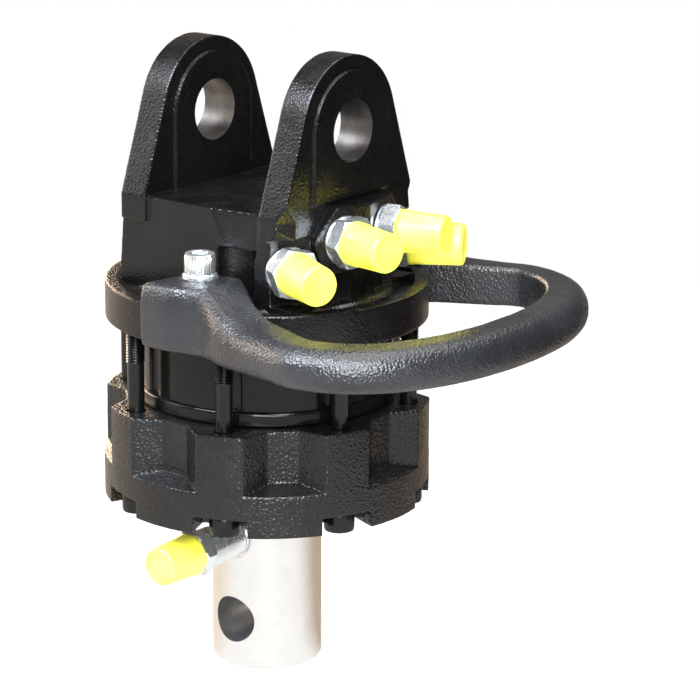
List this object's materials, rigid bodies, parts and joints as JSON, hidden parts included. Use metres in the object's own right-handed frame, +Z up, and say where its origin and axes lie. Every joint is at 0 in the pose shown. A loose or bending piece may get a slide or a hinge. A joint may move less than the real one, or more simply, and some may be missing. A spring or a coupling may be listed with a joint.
{
  "type": "hydraulic grapple rotator",
  "caption": "Hydraulic rotator for a timber grapple: forked hanger over a round vane motor, plain cross-bored shaft below, capped hose ports and a cast guard loop around them.",
  "frame": {"origin": "centre of the shaft's lower end face, on the turning axis", "axes": "+Z up along the turning axis, +X along the hanger pin's bores towards the side with the hose ports and the guard, +Y away from the viewer of the picture"},
  "size_m": [0.256, 0.223, 0.335],
  "materials": {
    "black_casting": "thick gloss black paint over a rough casting",
    "ground_steel": "ground and polished",
    "zinc_steel": "bright zinc plating",
    "black_screw_steel": "blackened high-tensile steel under paint",
    "hardened_steel": "hardened and ground",
    "bearing_bronze": "machined bearing bronze",
    "seal_rubber": "moulded nitrile rubber",
    "slide_seal": "filled low-friction plastic",
    "cap_plastic": "soft yellow moulded plastic"
  },
  "bodies": {
    "housing": {"clamp_screw_1": "black_screw_steel", "clamp_screw_2": "black_screw_steel", "clamp_screw_3": "black_screw_steel", "clamp_screw_4": "black_screw_steel", "clamp_screw_5": "black_screw_steel", "clamp_screw_6": "black_screw_steel", "clamp_screw_7": "black_screw_steel", "clamp_screw_8": "black_screw_steel", "guard_loop": "black_casting", "guard_screw_far": "zinc_steel", "guard_screw_near": "zinc_steel", "guard_washer_far": "zinc_steel", "guard_washer_near": "zinc_steel", "lower_bush": "bearing_bronze", "lower_cap": "black_casting", "lower_oring": "seal_rubber", "port_adaptor_1": "zinc_steel", "port_adaptor_2": "zinc_steel", "port_adaptor_3": "zinc_steel", "port_adaptor_4": "zinc_steel", "port_cap_1": "cap_plastic", "port_cap_2": "cap_plastic", "port_cap_3": "cap_plastic", "port_cap_4": "cap_plastic", "port_seal_1": "seal_rubber", "port_seal_2": "seal_rubber", "port_seal_3": "seal_rubber", "port_seal_4": "seal_rubber", "shaft_seal": "seal_rubber", "stator_ring": "black_casting", "swivel_seal_1": "slide_seal", "swivel_seal_2": "slide_seal", "swivel_seal_3": "slide_seal", "thrust_ring": "bearing_bronze", "upper_bracket": "black_casting", "upper_bush": "bearing_bronze", "upper_oring": "seal_rubber", "wiper_ring": "seal_rubber"},
    "rotor": {"passage_plug_1": "hardened_steel", "passage_plug_2": "hardened_steel", "rotor_shaft": "ground_steel", "shaft_adaptor_1": "zinc_steel", "shaft_adaptor_2": "zinc_steel", "shaft_adaptor_seal_1": "seal_rubber", "shaft_adaptor_seal_2": "seal_rubber", "shaft_cap_1": "cap_plastic", "shaft_cap_2": "cap_plastic", "vane_1": "hardened_steel", "vane_2": "hardened_steel", "vane_3": "hardened_steel", "vane_4": "hardened_steel", "vane_5": "hardened_steel", "vane_6": "hardened_steel", "vane_spring_1": "hardened_steel", "vane_spring_2": "hardened_steel", "vane_spring_3": "hardened_steel", "vane_spring_4": "hardened_steel", "vane_spring_5": "hardened_steel", "vane_spring_6": "hardened_steel"}
  },
  "joints": [
    {"name": "rotor_turn", "type": "hinge", "parent": "housing", "child": "rotor", "pos_m": [0, 0, 0], "axis": [0, 0, 1], "continuous": true}
  ]
}
